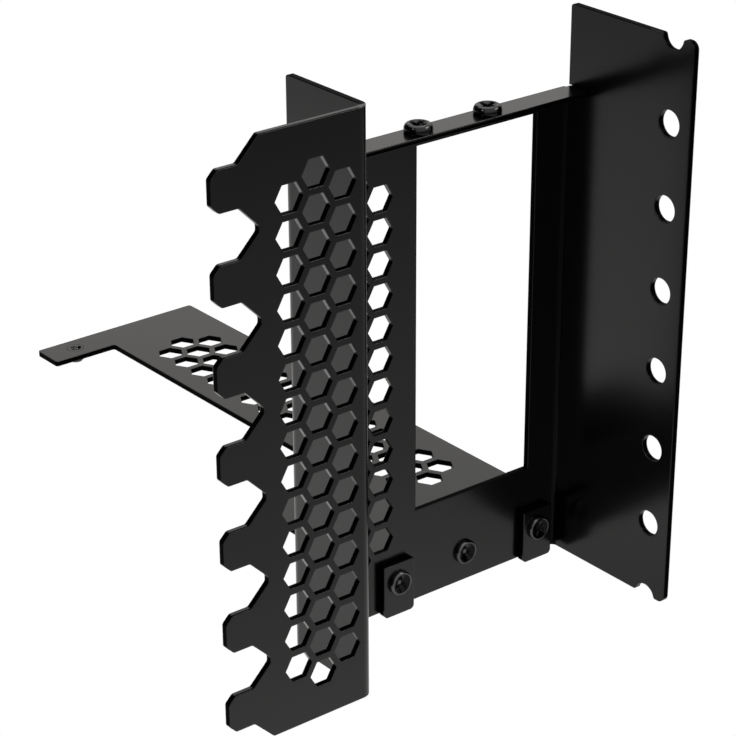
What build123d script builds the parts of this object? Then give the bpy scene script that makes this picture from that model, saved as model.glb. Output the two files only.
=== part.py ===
from build123d import *
import os

os.makedirs("parts", exist_ok=True)

# Drawing axes: X runs to the right along the front, Y runs back, Z runs up.
# Drawing zero is the outer front corner of the first fold, at the bottom edge.
# All sizes are millimetres.

# Sheet metal
sheet_thickness = 1.5
bend_inner_radius = 1.5
edge_corner_radius = 0.8

# Expansion slot rhythm
slot_pitch = 20.32
slot_count = 7
slot_end_trim = 0.32
sheet_height = slot_pitch * slot_count - 2 * slot_end_trim
mid_height = sheet_height / 2

# Slot cover panel with its row of tongues
tongue_reach = 40.8
tongue_root_reach = 34.0
tongue_gap_reach = 29.2
tongue_gap_height = 1.52
tongue_half_width = 4.6
tongue_chamfer = 1.8
tongue_fillet = 1.0

# Honeycomb vents
hex_pitch = 7.93
hex_across_flats = 6.4
hex_column_step = hex_pitch * 0.8660254
panel_hex_first_x = -21.45
panel_outer_column_count = 15
panel_middle_column_count = 16
frame_hex_last_x = 24.6
frame_hex_drop = 7.5
frame_outer_column_count = 12
frame_middle_column_count = 13

# Recessed frame that carries the card
recess_depth = 28.0
window_left = 35.2
window_right = 71.5
window_bottom = 24.5
window_to_lip = 5.15
frame_right = 80.8
lip_drop = 19.3
lip_depth = 9.1
lip_end_gap = 0.3
free_edge_reach = 0.9
tab_screw_first_x = 32.15
tab_screw_setback = 3.4

# Case side plate with its row of fixing holes
plate_reach = 12.3
plate_hole_reach = 5.7
plate_hole_radius = 3.25
plate_hole_drop = 0.25
plate_corner_radius = 2.0
plate_notch_mouth_radius = 0.7

# Riser shelf
shelf_back = 186.8
shelf_right = 79.1
shelf_spine_left = 45.7
shelf_front_left = 18.2
shelf_front_part_back = 69.7
shelf_arm_tip = 26.3
shelf_arm_width = 10.0
shelf_corner_radius = 0.8
shelf_flange_bottom = 0.8
shelf_hex_middle_x = 61.8
shelf_hex_back_y = 165.6
shelf_middle_hex_count = 15
shelf_outer_hex_count = 14
riser_hole_x = 35.7
riser_hole_rear_edge = 5.0
riser_hole_front_edge = 4.1

# Threaded bushes under the riser holes
bush_outer_radius = 2.4
bush_bore_radius = 1.5
bush_drop = 3.0

# Clamp plates and their screws
clamp_wall_clearance = 2.6
clamp_pitch = 22.5
clamp_width = 9.2
clamp_height = 14.0
clamp_thickness = 2.0
clamp_corner_radius = 1.1
clamp_overhang = 0.9
clamp_screw_height = 7.9

# Screws: tall pan heads on the lip, low heads along the bottom
screw_radius = 1.75
screw_clearance = 0.15
tab_head_radius = 3.5
tab_head_height = 2.3
tab_head_rounding = 1.1
tab_screw_length = 2.0
low_head_radius = 3.15
low_head_height = 1.2
low_head_rounding = 0.45
nut_radius = 3.2
nut_thickness = 2.2
screw_tip_beyond_nut = 0.4
nut_to_fold_gap = 0.1

# Derived places
bend_outer_radius = bend_inner_radius + sheet_thickness
frame_back = recess_depth + sheet_thickness
plate_outer_x = frame_right + sheet_thickness
lip_top = sheet_height - lip_drop
window_top = lip_top - window_to_lip
upright_back = frame_back - bend_outer_radius
bend_top = lip_top - bend_outer_radius
lip_front = frame_back - lip_depth
tab_screw_y = lip_front + tab_screw_setback
shelf_front = frame_back
shelf_top = clamp_screw_height + nut_radius + nut_to_fold_gap + bend_outer_radius
shelf_under = shelf_top - sheet_thickness
shelf_nut_face = shelf_front + sheet_thickness
hole_row_bottom = mid_height - plate_hole_drop - slot_pitch * (slot_count / 2 - 1)
hole_row_zs = [hole_row_bottom + i * slot_pitch for i in range(slot_count - 1)]
notch_zs = [hole_row_zs[0] - slot_pitch, hole_row_zs[-1] + slot_pitch]
clearance_radius = screw_radius + screw_clearance
tab_screw_xs = [tab_screw_first_x, tab_screw_first_x + slot_pitch]
clamp_right_x = frame_right - clamp_wall_clearance - clamp_width / 2
fixing_xs = [clamp_right_x - 2 * clamp_pitch, clamp_right_x - clamp_pitch, clamp_right_x]
clamp_xs = [fixing_xs[0], fixing_xs[2]]
riser_hole_ys = [
    shelf_front_part_back - riser_hole_front_edge,
    shelf_back - riser_hole_rear_edge,
]

# The part's zero is under the middle of its bounding box, level with the clamp plates' lower ends
middle_x = (plate_outer_x - tongue_reach) / 2
middle_y = (shelf_back - plate_reach) / 2


def block(x0, x1, y0, y1, z0, z1):
    box = Box(x1 - x0, y1 - y0, z1 - z0)
    return Pos((x0 + x1) / 2, (y0 + y1) / 2, (z0 + z1) / 2) * box


def rod_x(x0, x1, y, z, radius):
    rod = Rot(0, 90, 0) * Cylinder(radius, x1 - x0)
    return Pos((x0 + x1) / 2, y, z) * rod


def rod_y(x, y0, y1, z, radius):
    rod = Rot(90, 0, 0) * Cylinder(radius, y1 - y0)
    return Pos(x, (y0 + y1) / 2, z) * rod


def rod_z(x, y, z0, z1, radius):
    rod = Cylinder(radius, z1 - z0)
    return Pos(x, y, (z0 + z1) / 2) * rod


def quarter_profile(start):
    outer = CenterArc((0, 0), bend_outer_radius, start, 90)
    inner = CenterArc((0, 0), bend_inner_radius, start, 90)
    side_a = Line(outer @ 0, inner @ 0)
    side_b = Line(outer @ 1, inner @ 1)
    return make_face(Wire([outer, side_b, inner, side_a]))


def upright_bend(x, y, start, z0, z1):
    return Pos(x, y, z0) * extrude(quarter_profile(start), z1 - z0)


def level_bend(y, z, start, x0, x1):
    # the profile's first axis becomes Y and its second axis becomes Z
    plane = Plane(origin=(x0, y, z), x_dir=(0, 1, 0), z_dir=(1, 0, 0))
    return extrude(plane * quarter_profile(start), x1 - x0)


def hexagon_face():
    corner = hex_across_flats / 2 / 0.8660254
    return RegularPolygon(corner, 6)


def hexes_through_y(centres, y0, y1):
    # hexagons with a corner pointing left and right, cut along Y
    plane = Plane(origin=(0, y1, 0), x_dir=(1, 0, 0), z_dir=(0, -1, 0))
    holes = []
    for x, z in centres:
        face = plane * Pos(x, z) * hexagon_face()
        holes.append(extrude(face, y1 - y0))
    return holes


def hexes_through_z(centres, z0, z1):
    # the same hexagons laid flat, cut along Z
    holes = []
    for x, y in centres:
        face = Pos(x, y, z0) * hexagon_face()
        holes.append(extrude(face, z1 - z0))
    return holes


def column(x, middle, count):
    low = middle - (count - 1) * hex_pitch / 2
    return [(x, low + i * hex_pitch) for i in range(count)]


def panel_hex_centres():
    x = panel_hex_first_x
    centres = column(x, mid_height, panel_outer_column_count)
    centres += column(x + hex_column_step, mid_height, panel_middle_column_count)
    centres += column(x + 2 * hex_column_step, mid_height, panel_outer_column_count)
    return centres


def frame_hex_centres():
    x = frame_hex_last_x
    middle = mid_height - frame_hex_drop
    centres = column(x, middle, frame_outer_column_count)
    centres += column(x - hex_column_step, middle, frame_middle_column_count)
    centres += column(x - 2 * hex_column_step, middle, frame_outer_column_count)
    return centres


def shelf_hex_centres():
    centres = []
    for i in range(shelf_middle_hex_count):
        centres.append((shelf_hex_middle_x, shelf_hex_back_y - i * hex_pitch))
    for i in range(shelf_outer_hex_count):
        y = shelf_hex_back_y - (i + 0.5) * hex_pitch
        centres.append((shelf_hex_middle_x - hex_column_step, y))
        centres.append((shelf_hex_middle_x + hex_column_step, y))
    return centres


def tongue_tip(z):
    # the corner points of one tongue, from its upper root to its lower root
    half = tongue_half_width
    cut = tongue_chamfer
    return [
        (-tongue_root_reach, z + half),
        (-tongue_reach + cut, z + half),
        (-tongue_reach, z + half - cut),
        (-tongue_reach, z - half + cut),
        (-tongue_reach + cut, z - half),
        (-tongue_root_reach, z - half),
    ]


def panel_face():
    top_slope = sheet_height - mid_height - slot_pitch * (slot_count - 1) / 2 - tongue_half_width
    top_x = -tongue_root_reach + top_slope
    points = [(-bend_outer_radius, sheet_height), (top_x, sheet_height)]
    for i in range(slot_count):
        z = mid_height + slot_pitch * ((slot_count - 1) / 2 - i)
        points += tongue_tip(z)
        if i < slot_count - 1:
            gap_middle = z - slot_pitch / 2
            points.append((-tongue_gap_reach, gap_middle + tongue_gap_height / 2))
            points.append((-tongue_gap_reach, gap_middle - tongue_gap_height / 2))
    points += [(top_x, 0), (-bend_outer_radius, 0)]
    outline = Polyline(*points, close=True)
    face = make_face(outline)
    rounded = [v for v in face.vertices() if v.X < -tongue_gap_reach + 1.5]
    return fillet(rounded, tongue_fillet)


def slot_panel():
    plane = Plane(origin=(0, sheet_thickness, 0), x_dir=(1, 0, 0), z_dir=(0, -1, 0))
    panel = extrude(plane * panel_face(), sheet_thickness)
    return panel - hexes_through_y(panel_hex_centres(), -1, sheet_thickness + 1)


def upright_wall(x0, y0, y1):
    # a wall standing along Y; above the lip it is free, reaches back and has a rounded corner
    free_back = y1 + free_edge_reach
    points = [
        (y0, 0),
        (y1, 0),
        (y1, lip_top),
        (free_back, lip_top),
        (free_back, sheet_height),
        (y0, sheet_height),
    ]
    face = make_face(Polyline(*points, close=True))
    corner = face.vertices().sort_by(Axis.Y)[-2:].sort_by(Axis.X)[-1:]
    face = fillet(corner, edge_corner_radius)
    plane = Plane(origin=(x0, 0, 0), x_dir=(0, 1, 0), z_dir=(1, 0, 0))
    return extrude(plane * face, sheet_thickness)


def left_wall():
    return upright_wall(-sheet_thickness, bend_outer_radius, upright_back)


def case_plate():
    plate = upright_wall(frame_right, -plate_reach, upright_back)
    front = plate.edges().filter_by(Axis.X).sort_by(Axis.Y)[:2]
    plate = fillet(front, plate_corner_radius)
    x0 = frame_right - 1
    x1 = plate_outer_x + 1
    cuts = [rod_x(x0, x1, -plate_hole_reach, z, plate_hole_radius) for z in hole_row_zs + notch_zs]
    plate = plate - cuts
    mouths = plate.edges().filter_by(Axis.X)
    mouths = [e for e in mouths if is_notch_mouth(e.center())]
    return fillet(mouths, plate_notch_mouth_radius)


def is_notch_mouth(point):
    level = min(abs(point.Z), abs(point.Z - sheet_height)) < 0.1
    near = abs(abs(point.Y + plate_hole_reach) - plate_hole_radius) < 0.5
    return level and near


def fixing_bores(y0, y1):
    # clearance bores for the three bottom screws, through a wall from y0 to y1
    z = clamp_screw_height
    return [rod_y(x, y0 - 1, y1 + 1, z, clearance_radius) for x in fixing_xs]


def frame_sheet():
    x0 = bend_inner_radius
    x1 = frame_right - bend_inner_radius
    sheet = block(x0, x1, recess_depth, frame_back, 0, bend_top)
    sheet = sheet - block(
        window_left, window_right, recess_depth - 1, frame_back + 1, window_bottom, window_top
    )
    sheet = sheet - hexes_through_y(frame_hex_centres(), recess_depth - 1, frame_back + 1)
    return sheet - fixing_bores(recess_depth, frame_back)


def card_lip():
    x0 = bend_inner_radius + lip_end_gap
    x1 = frame_right - bend_inner_radius - lip_end_gap
    bend = level_bend(upright_back, bend_top, 0, x0, x1)
    lip_under = lip_top - sheet_thickness
    lip = block(lip_end_gap, frame_right - lip_end_gap, lip_front, upright_back, lip_under, lip_top)
    y = tab_screw_y
    bores = [rod_z(x, y, lip_under - 1, lip_top + 1, screw_radius) for x in tab_screw_xs]
    return bend + lip - bores


def folded_bracket():
    first = upright_bend(-bend_outer_radius, bend_outer_radius, -90, 0, sheet_height)
    second = upright_bend(bend_inner_radius, upright_back, 90, 0, bend_top)
    third = upright_bend(frame_right - bend_inner_radius, upright_back, 0, 0, bend_top)
    body = slot_panel() + first + left_wall() + second
    body = body + frame_sheet() + card_lip() + third + case_plate()
    return body.clean()


def shelf_face():
    arm_front = shelf_back - shelf_arm_width
    flat_front = shelf_front + bend_outer_radius
    points = [
        (shelf_front_left, flat_front),
        (shelf_right, flat_front),
        (shelf_right, shelf_back),
        (shelf_arm_tip, shelf_back),
        (shelf_arm_tip, arm_front),
        (shelf_spine_left, arm_front),
        (shelf_spine_left, shelf_front_part_back),
        (shelf_front_left, shelf_front_part_back),
    ]
    face = make_face(Polyline(*points, close=True))
    rounded = [v for v in face.vertices() if v.Y > flat_front + 1]
    return fillet(rounded, shelf_corner_radius)


def riser_shelf():
    plate = Pos(0, 0, shelf_under) * extrude(shelf_face(), sheet_thickness)
    plate = plate - hexes_through_z(shelf_hex_centres(), shelf_under - 1, shelf_top + 1)
    for y in riser_hole_ys:
        plate = plate - rod_z(riser_hole_x, y, shelf_under - 1, shelf_top + 1, bush_outer_radius)
    centre_y = shelf_front + bend_outer_radius
    centre_z = shelf_top - bend_outer_radius
    bend = level_bend(centre_y, centre_z, 90, shelf_front_left, shelf_right)
    x0 = shelf_front_left
    x1 = shelf_right
    flange = block(x0, x1, shelf_front, shelf_nut_face, shelf_flange_bottom, centre_z)
    flange = flange - fixing_bores(shelf_front, shelf_nut_face)
    return (plate + bend + flange).clean()


def riser_bushes():
    bushes = []
    for y in riser_hole_ys:
        body = rod_z(riser_hole_x, y, shelf_under - bush_drop, shelf_top, bush_outer_radius)
        bore = rod_z(riser_hole_x, y, shelf_under - bush_drop - 1, shelf_top + 1, bush_bore_radius)
        bushes.append(body - bore)
    return bushes


def clamp_plate(x):
    half = clamp_width / 2
    front = recess_depth - clamp_thickness
    top = clamp_height - clamp_overhang
    plate = block(x - half, x + half, front, recess_depth, -clamp_overhang, top)
    lower = plate.edges().filter_by(Axis.Y).sort_by(Axis.Z)[:2]
    plate = fillet(lower, clamp_corner_radius)
    return plate - rod_y(x, front - 1, recess_depth + 1, clamp_screw_height, clearance_radius)


def screw(head_radius, head_height, head_rounding, length):
    # the head sits above zero and the shank hangs below it
    head = Pos(0, 0, head_height / 2) * Cylinder(head_radius, head_height)
    head = fillet(head.edges().group_by(Axis.Z)[-1], head_rounding)
    shank = Pos(0, 0, -length / 2) * Cylinder(screw_radius, length)
    return head + shank


def tab_screws():
    one = screw(tab_head_radius, tab_head_height, tab_head_rounding, tab_screw_length)
    return [Pos(x, tab_screw_y, lip_top) * one for x in tab_screw_xs]


def front_screw(x, head_seat):
    length = shelf_nut_face + nut_thickness + screw_tip_beyond_nut - head_seat
    one = screw(low_head_radius, low_head_height, low_head_rounding, length)
    return Pos(x, head_seat, clamp_screw_height) * Rot(90, 0, 0) * one


def clamp_screws():
    seat = recess_depth - clamp_thickness
    return [front_screw(x, seat) for x in clamp_xs]


def press_nuts():
    nuts = []
    y0 = shelf_nut_face
    y1 = y0 + nut_thickness
    z = clamp_screw_height
    for x in fixing_xs:
        ring = rod_y(x, y0, y1, z, nut_radius)
        nuts.append(ring - rod_y(x, y0 - 1, y1 + 1, z, screw_radius))
    return nuts


def place(shape):
    return Pos(-middle_x, -middle_y, clamp_overhang) * shape


def save(name, shapes):
    placed = [place(s) for s in shapes]
    result = placed[0] if len(placed) == 1 else Compound(children=placed)
    export_step(result, "parts/" + name + ".step")


save("folded_bracket", [folded_bracket()])
save("riser_shelf", [riser_shelf()])
save("clamp_plate_left", [clamp_plate(clamp_xs[0])])
save("clamp_plate_right", [clamp_plate(clamp_xs[1])])
save("tab_screws", tab_screws())
save("clamp_screws", clamp_screws())
save("centre_screw", [front_screw(fixing_xs[1], recess_depth)])
save("press_nuts", press_nuts())
save("riser_bushes", riser_bushes())
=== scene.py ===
import math

import bmesh
import bpy
from mathutils import Matrix, Vector


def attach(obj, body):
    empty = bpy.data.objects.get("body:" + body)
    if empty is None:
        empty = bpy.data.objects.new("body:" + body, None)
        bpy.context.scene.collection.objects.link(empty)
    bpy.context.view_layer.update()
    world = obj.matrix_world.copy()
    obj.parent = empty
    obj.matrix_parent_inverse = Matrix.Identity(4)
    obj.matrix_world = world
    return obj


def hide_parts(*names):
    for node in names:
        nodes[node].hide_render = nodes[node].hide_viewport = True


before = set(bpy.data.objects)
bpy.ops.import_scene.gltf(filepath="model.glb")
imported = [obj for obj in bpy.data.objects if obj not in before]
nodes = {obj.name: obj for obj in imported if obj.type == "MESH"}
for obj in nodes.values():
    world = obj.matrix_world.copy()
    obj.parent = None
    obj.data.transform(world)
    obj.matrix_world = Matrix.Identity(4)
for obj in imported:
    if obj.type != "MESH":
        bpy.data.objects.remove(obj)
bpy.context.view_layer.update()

# The scene is in metres, in the row's frame. Points and boxes of the part's drawing are in
# millimetres: X runs to the right along the front, Y back and Z up, from the outer front
# corner of the panel's fold, at the sheet's bottom edge.
MM = 0.001
TONGUE_TIP_X, PLATE_OUTER_X = -40.8, 82.3
PLATE_FRONT_Y, SHELF_BACK_Y = -12.3, 186.8
CLAMP_FOOT_Z = -0.9
DRAWING_ZERO = Vector((
    (TONGUE_TIP_X + PLATE_OUTER_X) / 2,
    (PLATE_FRONT_Y + SHELF_BACK_Y) / 2,
    CLAMP_FOOT_Z,
))


def place(x, y, z):
    """A point of the part's drawing as a point of the row's frame."""
    return (Vector((x, y, z)) - DRAWING_ZERO) * MM


# --------------------------------------------------------------- node trees


class Nodes:
    """A short way to fill a node tree that ends in one output node."""

    def __init__(self, tree, output):
        self.tree = tree
        self.tree.nodes.clear()
        self.out = self.tree.nodes.new(output)

    def put(self, value, socket):
        """Links a socket to an output, or sets it to a value; None leaves it as it is."""
        if hasattr(value, "node"):
            self.tree.links.new(value, socket)
        elif value is not None:
            socket.default_value = value

    def add(self, kind, **inputs):
        """A new node, its inputs given by name with _ for each space."""
        node = self.tree.nodes.new(kind)
        for key, value in inputs.items():
            self.put(value, node.inputs[key.replace("_", " ")])
        return node

    def operate(self, kind, operation, values):
        node = self.tree.nodes.new(kind)
        node.operation = operation
        for socket, value in zip(node.inputs, values):
            self.put(value, socket)
        return node.outputs["Value"]

    def math(self, operation, *values):
        return self.operate("ShaderNodeMath", operation, values)

    def vector_math(self, operation, *values):
        return self.operate("ShaderNodeVectorMath", operation, values)

    def coords(self, kind="Object"):
        return self.add("ShaderNodeTexCoord").outputs[kind]

    def axes(self, vector):
        return self.add("ShaderNodeSeparateXYZ", Vector=vector).outputs

    def noise(self, where, scale, detail, rough):
        node = self.add("ShaderNodeTexNoise", Vector=where, Scale=scale, Detail=detail,
                        Roughness=rough)
        return node.outputs["Fac"]

    def ramp(self, value, stops):
        """A colour for each value; a stop is a place from 0 to 1 and its colour."""
        node = self.add("ShaderNodeValToRGB", Fac=value)
        while len(node.color_ramp.elements) < len(stops):
            node.color_ramp.elements.new(0.5)
        for element, (at, colour) in zip(node.color_ramp.elements, stops):
            element.position = at
            element.color = (*colour, 1.0)
        return node.outputs["Color"]

    def spread(self, value, low=0.0, high=1.0, first=0.0, last=1.0, soft=False):
        """Turns low to high of a value into first to last, and holds it beyond them."""
        node = self.add("ShaderNodeMapRange", Value=value, From_Min=low, From_Max=high,
                        To_Min=first, To_Max=last)
        if soft:
            node.interpolation_type = "SMOOTHSTEP"
        return node.outputs["Result"]

    def bump(self, height, strength, distance, under=None):
        """A normal that follows a height, on top of another normal where one is given."""
        node = self.add("ShaderNodeBump", Height=height, Strength=strength,
                        Distance=distance, Normal=under)
        return node.outputs["Normal"]

    def emission(self, colour):
        return self.add("ShaderNodeEmission", Color=colour, Strength=1.0).outputs["Emission"]

    def mix(self, share, first, second):
        """A shader that is the first at a share of 0 and the second at 1."""
        node = self.add("ShaderNodeMixShader", Fac=share)
        self.put(first, node.inputs[1])
        self.put(second, node.inputs[2])
        return node.outputs["Shader"]

    def end(self, shader):
        self.put(shader, self.out.inputs["Surface"])


WHITE = (1.0, 1.0, 1.0, 1.0)
IOR = 1.5


def new_material(name):
    """A material, and the builder of its node tree."""
    material = bpy.data.materials.new(name)
    material.use_nodes = True
    return material, Nodes(material.node_tree, "ShaderNodeOutputMaterial")


def end_in_principled(n, metallic, colour, rough, normal, shine=None):
    shader = n.add("ShaderNodeBsdfPrincipled", Metallic=metallic, IOR=IOR, Base_Color=colour,
                   Roughness=rough, Normal=normal, Specular_IOR_Level=shine)
    n.end(shader.outputs["BSDF"])


# -------------------------------------------------------------- powder coat

# Boxes of the drawing, each as (axis, low, high) for the axes it limits. A slab lies within
# a sheet's thickness, so it holds the sheet's cut edges but neither its faces nor its bends.
# SHEET_TOP holds the top edges behind the panel.
PANEL_SLAB = [("Y", 0.03, 1.36), ("X", -60.0, -3.0)]
WALL_SLAB = [("X", -1.37, -0.13), ("Y", 3.0, 26.4)]
FRAME_SLAB = [("Y", 28.03, 29.36), ("X", 3.0, 77.5)]
LIP_SLAB = [("Z", 121.2, 121.9), ("Y", 15.0, 25.0), ("X", 1.0, 80.3)]
PLATE_SLAB = [("X", 80.93, 82.17), ("Y", -20.0, 26.4)]
SHEET_TOP = [("Z", 141.47, 143.0), ("Y", 1.5, 40.0)]
SHELF_SLAB = [("Z", 12.83, 14.07), ("Y", 33.0, 200.0)]
CLAMP_SLAB = [("Y", 26.4, 28.1)]
BRACKET_SLABS = [PANEL_SLAB, FRAME_SLAB, WALL_SLAB, PLATE_SLAB, LIP_SLAB, SHEET_TOP]

# Boxes in which the edges that face straight up keep most of their gloss
TONGUE_TOPS = [("Y", 0.5, 1.6), ("X", -60.0, -26.0)]
PANEL_TOP = [("Y", 0.5, 1.6), ("X", -26.0, 0.0), ("Z", 140.0, 142.0)]
KEPT_GLOSS = 0.85

# Boxes that lose a share of their gloss: a box, its share low down and its share high up,
# with both heights given above the row's zero
SIDE_PLATE = [("X", 80.0, 83.0)]
PLATE_BEND = [("X", 79.35, 80.78), ("Y", 26.52, 27.98)]
DULLER_BOXES = [(SIDE_PLATE, 0.07, 0.34), (PLATE_BEND, 0.80, 0.80)]
LOW_DOWN, HIGH_UP = 30 * MM, 70 * MM

# How far an edge's normal points up: it faces down below the first pair of numbers, and
# straight up above the second pair
NOT_DOWN = (-0.45, -0.25)
STRAIGHT_UP = (0.9, 0.98)

FACE_SHINE, EDGE_SHINE = 0.5, 0.006
COAT_COLOURS = [(0.3, (0.0007, 0.0007, 0.0006)), (0.7, (0.0013, 0.0012, 0.0011))]
COAT_ROUGH = (0.17, 0.22)
ARRIS = 0.35 * MM
ARRIS_SAMPLES = 8
PEEL, PEEL_DEPTH = 0.05, 0.25 * MM
SPECK, SPECK_DEPTH = 0.04, 0.1 * MM
SMALL_PART_GRAIN = 1.6


def inside(n, axes, box):
    """1 inside a box of the drawing and 0 outside it."""
    total = None
    for name, low, high in box:
        zero = DRAWING_ZERO["XYZ".index(name)]
        middle, half = ((low + high) / 2 - zero) * MM, (high - low) / 2 * MM
        part = n.math("COMPARE", axes[name], middle, half)
        total = part if total is None else n.math("MULTIPLY", total, part)
    return total


def cut_edges(n, axes, slabs, pale):
    """1 on the sheet's cut edges, save where they face down, and 0 on its faces."""
    total = 0.0
    for slab in slabs:
        total = n.math("MAXIMUM", total, inside(n, axes, slab))
    upwards = n.axes(n.coords("Normal"))["Z"]
    total = n.math("MULTIPLY", total, n.spread(upwards, *NOT_DOWN))
    level = n.spread(upwards, *STRAIGHT_UP)
    for box in pale:
        lit = n.math("MULTIPLY", inside(n, axes, box), level)
        left = n.math("SUBTRACT", 1.0, n.math("MULTIPLY", lit, KEPT_GLOSS))
        total = n.math("MULTIPLY", total, left)
    return total


def dulled(n, axes, shine, box, foot, top):
    """The shine with a share lost in a box: foot low down, and top high up."""
    height = n.spread(axes["Z"], LOW_DOWN, HIGH_UP)
    loss = n.math("ADD", n.math("MULTIPLY", height, top - foot), foot)
    kept = n.math("SUBTRACT", 1.0, n.math("MULTIPLY", loss, inside(n, axes, box)))
    return n.math("MULTIPLY", shine, kept)


def powder_coat(name, grain, slabs, pale=(), duller=()):
    """Black powder coat: a fine orange peel, rounded arrises and dull cut edges."""
    material, n = new_material(name)
    where = n.coords()
    axes = n.axes(where)
    cloud = n.noise(where, scale=38.0, detail=3.0, rough=0.55)
    peel = n.noise(where, scale=1500.0, detail=2.0, rough=0.6)
    speck = n.noise(where, scale=5200.0, detail=1.0, rough=0.5)
    arris = n.add("ShaderNodeBevel", Radius=ARRIS)
    arris.samples = ARRIS_SAMPLES
    normal = n.bump(peel, PEEL * grain, PEEL_DEPTH, arris.outputs["Normal"])
    normal = n.bump(speck, SPECK * grain, SPECK_DEPTH, normal)
    edges = cut_edges(n, axes, slabs, pale)
    shine = n.spread(edges, first=FACE_SHINE, last=EDGE_SHINE)
    for box, foot, top in duller:
        shine = dulled(n, axes, shine, box, foot, top)
    rough = n.spread(cloud, first=COAT_ROUGH[0], last=COAT_ROUGH[1])
    end_in_principled(n, 0.0, n.ramp(cloud, COAT_COLOURS), rough, normal, shine)
    return material


# ------------------------------------------------------------ plated metals

PLATING_DEPTH = 0.1 * MM


def black_screw(name, dark, light):
    """Glossy black plating on a pressed screw head, between a dark and a light grey."""
    material, n = new_material(name)
    where = n.coords()
    cloud = n.noise(where, scale=420.0, detail=3.0, rough=0.55)
    scuff = n.noise(where, scale=2400.0, detail=3.0, rough=0.6)
    colour = n.ramp(cloud, [(0.3, (dark,) * 3), (0.7, (light,) * 3)])
    rough = n.spread(cloud, first=0.08, last=0.14)
    normal = n.bump(scuff, strength=0.06, distance=PLATING_DEPTH)
    end_in_principled(n, 1.0, colour, rough, normal)
    return material


def zinc(name):
    """Plain plated steel for the nuts behind the flange."""
    material, n = new_material(name)
    cloud = n.noise(n.coords(), scale=600.0, detail=3.0, rough=0.6)
    colour = n.ramp(cloud, [(0.3, (0.36, 0.36, 0.37)), (0.7, (0.50, 0.50, 0.51))])
    rough = n.spread(cloud, first=0.26, last=0.40)
    normal = n.bump(cloud, strength=0.15, distance=PLATING_DEPTH)
    end_in_principled(n, 1.0, colour, rough, normal)
    return material


coat = powder_coat("powder_coat_bracket", 1.0, BRACKET_SLABS, (TONGUE_TOPS, PANEL_TOP),
                   DULLER_BOXES)
coat_shelf = powder_coat("powder_coat_shelf", 1.0, [SHELF_SLAB])
coat_small = powder_coat("powder_coat_small_parts", SMALL_PART_GRAIN, [CLAMP_SLAB])
# Lit and shaded copies of one black plating, which paint light and shade on the screws. The
# darker copy paints shade on the pan heads. The lighter copy paints a bright rim on the low
# heads, a glint at each recess's hub and a glint in the bushes' bores. The darkest copy
# paints shade in the cross recesses.
screw_pan_shaded = black_screw("screw_plating_pan_shaded", dark=0.035, light=0.050)
screw_low_lit = black_screw("screw_plating_low_lit", dark=0.10, light=0.14)
screw_recess_shade = black_screw("screw_plating_recess_shade", dark=0.012, light=0.020)
nut_zinc = zinc("nut_plating")


def dress(node, material):
    """Gives a CAD node its material."""
    materials = nodes[node].data.materials
    materials.clear()
    materials.append(material)


dress("folded_bracket", coat)
dress("riser_shelf", coat_shelf)
dress("clamp_plate_left", coat_small)
dress("clamp_plate_right", coat_small)
dress("riser_bushes", coat_small)
dress("press_nuts", nut_zinc)


# ---------------------------------------------------------- rings and pieces

AROUND = 120
THREAD_PITCH = 0.7 * MM


def smooth(low, high, x):
    """0 up to low, 1 from high, and a soft step between them."""
    t = min(1.0, max(0.0, (x - low) / (high - low)))
    return t * t * (3 - 2 * t)


def round_off(low, high, x):
    """1 at low, falling along a quarter of an ellipse to 0 at high."""
    t = (x - low) / (high - low)
    return math.sqrt(max(0.0, 1 - t * t))


def ring_of(bm, point):
    """A ring of vertices, each given by a function of its angle."""
    return [bm.verts.new(point(2 * math.pi * k / AROUND)) for k in range(AROUND)]


def circle(r, z):
    return lambda a: (r * math.cos(a), r * math.sin(a), z)


def threaded(r, groove, z):
    """A ring of a right-hand thread; the groove cuts into r, or outwards if below 0."""
    def point(a):
        phase = (a / (2 * math.pi) - z / THREAD_PITCH) % 1.0
        return circle(r - groove * abs(2 * phase - 1), z)(a)
    return point


def join_rings(bm, inner, outer):
    """Faces between two rings, or between one vertex and a ring."""
    count = len(outer)
    for k in range(count):
        after = (k + 1) % count
        if len(inner) == 1:
            bm.faces.new((inner[0], outer[k], outer[after]))
        else:
            bm.faces.new((inner[k], outer[k], outer[after], inner[after]))


def finished_mesh(name, bm):
    mesh = bpy.data.meshes.new(name)
    bm.to_mesh(mesh)
    bm.free()
    return mesh


def add_object(name, data):
    obj = bpy.data.objects.new(name, data)
    bpy.context.scene.collection.objects.link(obj)
    return obj


# -------------------------------------------------------------- screw heads

# The cross recess, in shares of the head's radius
ARM_HALF, ARM_TAPER, TAPER_TO = 0.17, 0.05, 0.55
ARM_WALL, TIP_WALL = 0.06, 0.1
HUB_FLAT, HUB_WALL_TO = 0.20, 0.34
ARMS_RISE, RISE_FROM, RISE_TO = 0.45, 0.15, 0.6

# The heads' outlines: heights in shares of the head's height, the rest of its radius
PAN_DISH, PAN_DISH_FROM, PAN_RIM, PAN_SIDE = 0.20, 0.15, 0.72, 0.34
LOW_FLOOR, LOW_CONE, LOW_CONE_FROM, LOW_CONE_TO = 0.42, 0.54, 0.18, 0.90
LOW_LIFT, LOW_LIFT_FROM, LOW_RIM, LOW_SIDE = 0.04, 0.80, 0.86, 0.45


def cross_depth(x, y, reach):
    """Depth of the cross recess at a point of the head, as a share of its full depth."""
    r = math.hypot(x, y)
    half = ARM_HALF - ARM_TAPER * smooth(0.0, TAPER_TO, r)

    def arm(along, across):
        end = 1 - smooth(reach, reach + TIP_WALL, abs(along))
        return (1 - smooth(half, half + ARM_WALL, abs(across))) * end

    hub = 1 - smooth(HUB_FLAT, HUB_WALL_TO, r)
    return max(arm(x, y), arm(y, x), hub) * (1 - ARMS_RISE * smooth(RISE_FROM, RISE_TO, r))


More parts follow.
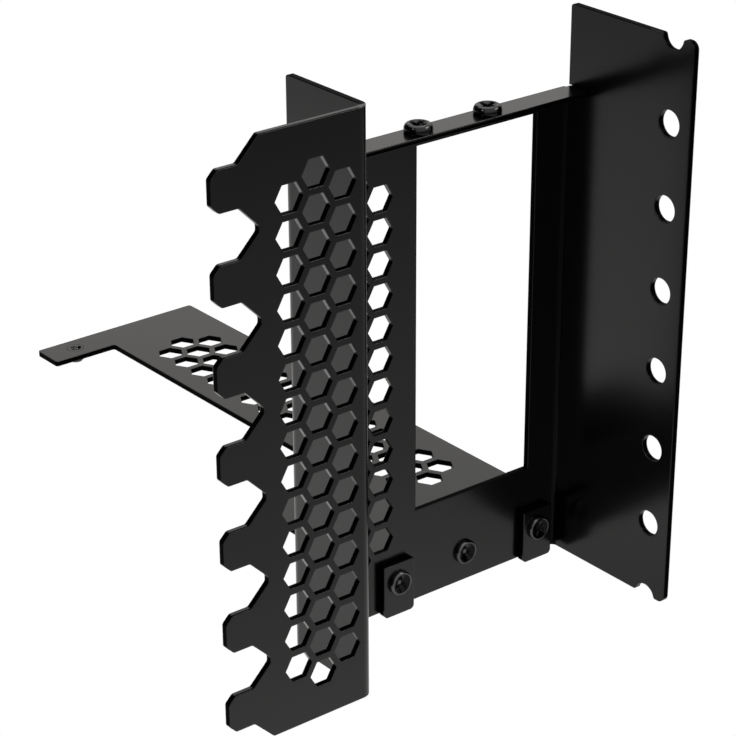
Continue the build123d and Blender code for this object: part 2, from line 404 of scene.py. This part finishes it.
def pan_height(r):
    """Height of a tall head above its seat: a bulging side, a rim and a dished top."""
    if r < PAN_RIM:
        return 1 - PAN_DISH + PAN_DISH * smooth(PAN_DISH_FROM, PAN_RIM, r)
    return PAN_SIDE + (1 - PAN_SIDE) * round_off(PAN_RIM, 1.0, r)


def low_height(r):
    """Height of a low head: a narrow raised rim around a shallow cone."""
    if r < LOW_RIM:
        cone = LOW_CONE * smooth(LOW_CONE_FROM, LOW_CONE_TO, r)
        return LOW_FLOOR + cone + LOW_LIFT * smooth(LOW_LIFT_FROM, LOW_RIM, r)
    return LOW_SIDE + (1 - LOW_SIDE) * round_off(LOW_RIM, 1.0, r)


# r and h are the head's radius and height. The rest are shares: cut is the recess's depth,
# reach its arms' length, hub how far the painted glint at the recess's middle goes, and
# hollow how far the painted shade in the recess goes.
HEADS = {
    "pan": {"r": 3.35 * MM, "h": 2.1 * MM, "shape": pan_height, "cut": 0.62, "reach": 0.50,
            "hub": 0.24, "hollow": 0.68},
    "low": {"r": 3.15 * MM, "h": 1.2 * MM, "shape": low_height, "cut": 0.38, "reach": 0.62,
            "hub": 0.17, "hollow": 0.82},
}
# Material slots for the painted shade in the recess and the painted glint at its hub
RECESS_SHADE_SLOT, HUB_GLINT_SLOT = 1, 2
TOP_RINGS, SIDE_RINGS, SIDE_FROM = 44, 10, 0.86
SEAT_CHAMFER = 0.12 * MM
SEAT_CHAMFER_SHARE = 0.10


def head_point(head, share, turn):
    """Points of the head's top on a ring at a share of its radius."""
    def point(a):
        x, y = share * math.cos(a), share * math.sin(a)
        across = x * math.cos(turn) + y * math.sin(turn)
        along = y * math.cos(turn) - x * math.sin(turn)
        recess = head["cut"] * cross_depth(across, along, head["reach"])
        return (x * head["r"], y * head["r"], head["h"] * (head["shape"](share) - recess))
    return point


def head_rings(bm, head, turn):
    """The head's top as a height field, from its middle out to its rim."""
    shares = [i / TOP_RINGS * SIDE_FROM for i in range(1, TOP_RINGS + 1)]
    shares += [SIDE_FROM + (1 - SIDE_FROM) * math.sin(i / SIDE_RINGS * math.pi / 2)
               for i in range(1, SIDE_RINGS + 1)]
    last = [bm.verts.new((0, 0, head["h"] * (head["shape"](0) - head["cut"])))]
    for share in shares:
        made = len(bm.faces)
        ring = ring_of(bm, head_point(head, share, turn))
        join_rings(bm, last, ring)
        # Faces inside the recess get the painted shade, and those at the hub the lighter copy
        # that paints a glint.
        if share < head["hollow"]:
            bm.faces.ensure_lookup_table()
            for face in bm.faces[made:]:
                face.material_index = HUB_GLINT_SLOT if share < head["hub"] else RECESS_SHADE_SLOT
        last = ring
    return last


# ------------------------------------------------------------ shanks, screws

SHANK_R = 1.75 * MM
THREAD_DEPTH = 0.28 * MM
THREAD_STARTS, THREAD_STOPS = 0.6 * MM, 0.5 * MM
POINT_LENGTH, POINT_TAPER = 0.4 * MM, 0.35 * MM
RINGS_A_PITCH = 8


def shank_rings(bm, last, length):
    """A threaded shank below the head, with a plain end."""
    steps = int(length / (THREAD_PITCH / RINGS_A_PITCH))
    for i in range(1, steps + 1):
        depth = length * i / steps
        fade = smooth(0.0, THREAD_STARTS, depth)
        fade *= 1 - smooth(length - THREAD_STOPS, length, depth)
        taper = POINT_TAPER * smooth(length - POINT_LENGTH, length, depth)
        ring = ring_of(bm, threaded(SHANK_R - taper, THREAD_DEPTH * fade, -depth))
        join_rings(bm, last, ring)
        last = ring
    return last


def screw_mesh(name, head, length, turn):
    """A head with a cross recess, standing on z = 0, with its threaded shank below."""
    bm = bmesh.new()
    last = head_rings(bm, head, turn)
    seat = (
        (head["r"], SEAT_CHAMFER_SHARE * head["h"]),
        (head["r"] - SEAT_CHAMFER, 0.0),
        (SHANK_R, 0.0),
    )
    for r, z in seat:
        ring = ring_of(bm, circle(r, z))
        join_rings(bm, last, ring)
        last = ring
    bm.faces.new(shank_rings(bm, last, length))
    bmesh.ops.recalc_face_normals(bm, faces=bm.faces)
    mesh = finished_mesh(name, bm)
    for face in mesh.polygons:
        face.use_smooth = True
    return mesh


def add_screw(name, kind, seat, length, turn):
    """One screw with its head on a seat; pan heads face up and low heads to the front."""
    mesh = screw_mesh(name, HEADS[kind], length * MM, turn)
    spin = Matrix.Rotation(math.radians(90), 4, "X") if kind == "low" else Matrix.Identity(4)
    mesh.transform(Matrix.Translation(place(*seat)) @ spin)
    obj = add_object(name, mesh)
    # The body takes the darker copy on pan heads, a painted shade, and the lighter copy on
    # low heads, a painted highlight on the rim. The recess takes painted shade and the hub a
    # painted glint.
    mesh.materials.append(screw_low_lit if kind == "low" else screw_pan_shaded)
    mesh.materials.append(screw_recess_shade)
    mesh.materials.append(screw_low_lit)
    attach(obj, "root")
    return obj


# Seats in the drawing, lengths below them, and a turn of its own for each recess, in radians
SLOT_PITCH = 20.32
TAB_X, TAB_Y, LIP_TOP = 32.15, 23.8, 122.3
TAB_LENGTH = 2.0
CLAMP_X, CLAMP_PITCH, BOTTOM_Z = 28.6, 22.5, 7.9
FRAME_FRONT, CLAMP_THICKNESS = 28.0, 2.0
CLAMP_FRONT = FRAME_FRONT - CLAMP_THICKNESS
CENTRE_LENGTH = 5.6
CLAMP_LENGTH = CENTRE_LENGTH + CLAMP_THICKNESS

left_tab = add_screw("tab_screw_left", "pan", (TAB_X, TAB_Y, LIP_TOP),
                     TAB_LENGTH, turn=0.5)
add_screw("tab_screw_right", "pan", (TAB_X + SLOT_PITCH, TAB_Y, LIP_TOP),
          TAB_LENGTH, turn=0.2)
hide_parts("tab_screws")
left_clamp = add_screw("clamp_screw_left", "low", (CLAMP_X, CLAMP_FRONT, BOTTOM_Z),
                       CLAMP_LENGTH, turn=0.25)
add_screw("clamp_screw_right", "low", (CLAMP_X + 2 * CLAMP_PITCH, CLAMP_FRONT, BOTTOM_Z),
          CLAMP_LENGTH, turn=0.9)
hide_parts("clamp_screws")
middle = add_screw("centre_screw_head", "low", (CLAMP_X + CLAMP_PITCH, FRAME_FRONT, BOTTOM_Z),
                   CENTRE_LENGTH, turn=0.45)
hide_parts("centre_screw")


# ------------------------------------------------------------ riser bushes

BUSH_R, BORE_R = 2.4 * MM, 1.5 * MM
BUSH_DROP, SHEET = 2.2 * MM, 1.5 * MM
BUSH_MOUTH = 0.25 * MM
BUSH_THREAD = 0.2 * MM
COLLAR_CHAMFER_UP, COLLAR_CHAMFER_IN = 0.6 * MM, 0.5 * MM
BORE_STEPS = 36
RISER_X, SHELF_TOP = 35.7, 14.2
RISER_REAR_Y, RISER_FRONT_Y = 181.8, 65.6
BORE = 1


def add_bush(name, y):
    """A threaded bush pressed into the shelf, with a short collar below the sheet."""
    bm = bmesh.new()
    low = -SHEET - BUSH_DROP
    outline = [
        (BORE_R + BUSH_MOUTH, 0.0),
        (BUSH_R, 0.0),
        (BUSH_R, low + COLLAR_CHAMFER_UP),
        (BUSH_R - COLLAR_CHAMFER_IN, low),
        (BORE_R + BUSH_MOUTH, low),
    ]
    rings = [ring_of(bm, circle(r, z)) for r, z in outline]
    for i in range(BORE_STEPS + 1):
        rings.append(ring_of(bm, threaded(BORE_R, -BUSH_THREAD, low * (1 - i / BORE_STEPS))))
    for ring, after in zip(rings, rings[1:] + rings[:1]):
        join_rings(bm, ring, after)
    for face in bm.faces:
        if face.calc_center_median().xy.length < BORE_R + BUSH_THREAD:
            face.material_index = BORE
    bmesh.ops.recalc_face_normals(bm, faces=bm.faces)
    mesh = finished_mesh(name, bm)
    mesh.transform(Matrix.Translation(place(RISER_X, y, SHELF_TOP)))
    mesh.materials.append(coat_small)
    # The bore's thread takes the lighter plating copy, which paints a glint in the hole.
    mesh.materials.append(screw_low_lit)
    obj = add_object(name, mesh)
    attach(obj, "root")
    return obj


rear_bush = add_bush("riser_bush_rear", RISER_REAR_Y)
add_bush("riser_bush_front", RISER_FRONT_Y)
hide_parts("riser_bushes")


# ------------------------------------------------------------ floor and air


def grey(value):
    """A grey that is a touch warm."""
    return (value, value * 0.99, value * 0.98)


# A painted pool of light that the floor gives off in the coat's reflections alone: pale
# around POOL_MIDDLE, paler towards BACK_WAY
POOL_MIDDLE = (-0.061, -0.027, 0.0)
POOL_REACH = 0.6
POOL_FRONT = [(0.0, grey(0.85)), (0.13, grey(0.67)), (0.22, grey(0.52)), (0.37, grey(0.42)),
              (0.65, grey(0.29)), (0.75, grey(0.23)), (1.0, grey(0.14))]
POOL_BACK = [(0.0, grey(1.0)), (0.07, grey(0.96)), (0.13, grey(0.88)), (0.19, grey(0.84)),
             (0.36, grey(0.80)), (0.60, grey(0.57)), (1.0, grey(0.33))]
BACK_WAY = (-0.6, 0.8, 0.0)
BACK_FROM, BACK_TO = -0.05, 0.10
GROUND = (0.62, 0.62, 0.62, 1.0)
FLOOR_HALF = 6.0
FLOOR_DROP = 0.4 * MM

# The sky's colour by height, from straight down to straight up, and its dark side
AIR = [(0.0, grey(0.15)), (0.15, grey(0.50)), (0.32, (0.94, 0.91, 0.89)),
       (0.40, (0.88, 0.85, 0.83)), (0.46, grey(0.76)), (0.70, grey(0.80)), (1.0, grey(1.0))]
DARK_SIDE = (-0.755, 0.624, 0.201)
DARK_FROM, DARK_TO = 0.30, 0.75
DARK_LEAST = 0.04


def floor_material():
    """White to the camera; in the coat's reflections a painted pool of light, given off by
    the floor itself, that fades outwards.
    """
    material, n = new_material("studio_floor")
    where = n.coords()
    away = n.vector_math("DISTANCE", where, POOL_MIDDLE)
    share = n.math("DIVIDE", away, POOL_REACH)
    across = n.vector_math("DOT_PRODUCT", where, BACK_WAY)
    pool = n.mix(n.spread(across, BACK_FROM, BACK_TO, soft=True),
                 n.emission(n.ramp(share, POOL_FRONT)),
                 n.emission(n.ramp(share, POOL_BACK)))
    ground = n.add("ShaderNodeBsdfDiffuse", Color=GROUND).outputs["BSDF"]
    path = n.add("ShaderNodeLightPath").outputs
    # Glossy rays see the floor glow with the painted pool of light; other rays see a plain
    # grey ground.
    unseen = n.mix(path["Is Glossy Ray"], ground, pool)
    n.end(n.mix(path["Is Camera Ray"], unseen, n.emission(WHITE)))
    return material


def add_floor():
    bm = bmesh.new()
    bmesh.ops.create_grid(bm, x_segments=2, y_segments=2, size=FLOOR_HALF)
    mesh = finished_mesh("studio_floor", bm)
    obj = add_object("studio_floor", mesh)
    obj.location.z = -FLOOR_DROP
    mesh.materials.append(floor_material())


def add_world():
    """White to the camera, and for all other rays a soft sky with one dark side."""
    world = bpy.data.worlds.new("studio_air")
    bpy.context.scene.world = world
    world.use_nodes = True
    n = Nodes(world.node_tree, "ShaderNodeOutputWorld")
    where = n.coords("Generated")
    turned = n.vector_math("DOT_PRODUCT", where, DARK_SIDE)
    strength = n.spread(turned, DARK_FROM, DARK_TO, 1.0, DARK_LEAST, soft=True)
    colour = n.ramp(n.axes(where)["Z"], AIR)
    sky = n.add("ShaderNodeBackground", Color=colour, Strength=strength)
    white = n.add("ShaderNodeBackground", Color=WHITE, Strength=1.0)
    seen = n.add("ShaderNodeLightPath").outputs["Is Camera Ray"]
    n.end(n.mix(seen, sky.outputs["Background"], white.outputs["Background"]))


def add_area(name, at, towards, size, power):
    light = bpy.data.lights.new(name, "AREA")
    light.shape = "RECTANGLE"
    light.size, light.size_y = size
    light.energy = power
    obj = add_object(name, light)
    obj.location = at
    obj.rotation_mode = "QUATERNION"
    obj.rotation_quaternion = (Vector(towards) - Vector(at)).to_track_quat("-Z", "Y")


# Each light's name, place, aim, size and power, in metres and watts
LIGHTS = [
    ("soft_top", (0.1, 0.35, 1.1), (0.0, 0.0, 0.05), (1.2, 0.9), 5.0),
    ("glint_right", (0.85, -0.55, 0.22), (0.0, 0.0, 0.06), (0.12, 0.22), 0.9),
    ("glint_left", (-0.9, -0.1, 0.75), (0.0, 0.0, 0.06), (0.15, 0.3), 1.0),
    ("arris_light", (0.6, -0.5, 0.75), (0.0, 0.0, 0.06), (0.5, 0.3), 2.5),
]
add_floor()
add_world()
for light in LIGHTS:
    add_area(*light)


# ------------------------------------------------------------------- camera

# Fitted to the photograph's straight edges. The place is in the drawing, the angles are in
# degrees, and the focal length and the optical axis's place in the picture are in pixels.
CAMERA_AT = (-306.5962, -385.2693, 306.8586)
HEADING, TILT, ROLL = 51.588489, -27.585064, -0.311846
PHOTO_PX = 736.0
FOCAL_PX = 2505.21
AXIS_PX = (369.60, 502.82)
SENSOR = 36.0
CLIP = (0.01, 20.0)


def rotation(degrees, axis):
    return Matrix.Rotation(math.radians(degrees), 3, axis)


def add_camera():
    data = bpy.data.cameras.new("photo_camera")
    data.sensor_fit = "HORIZONTAL"
    data.sensor_width = SENSOR
    data.lens = FOCAL_PX / PHOTO_PX * SENSOR
    data.shift_x = (PHOTO_PX / 2 - AXIS_PX[0]) / PHOTO_PX
    data.shift_y = (AXIS_PX[1] - PHOTO_PX / 2) / PHOTO_PX
    data.clip_start, data.clip_end = CLIP
    cam = add_object("photo_camera", data)
    turn = rotation(HEADING - 90, "Z") @ rotation(TILT + 90, "X") @ rotation(ROLL, "Z")
    cam.rotation_mode = "QUATERNION"
    cam.rotation_quaternion = turn.to_quaternion()
    cam.location = place(*CAMERA_AT)
    bpy.context.scene.camera = cam


add_camera()
bpy.context.scene.view_settings.view_transform = "Standard"
bpy.context.view_layer.update()
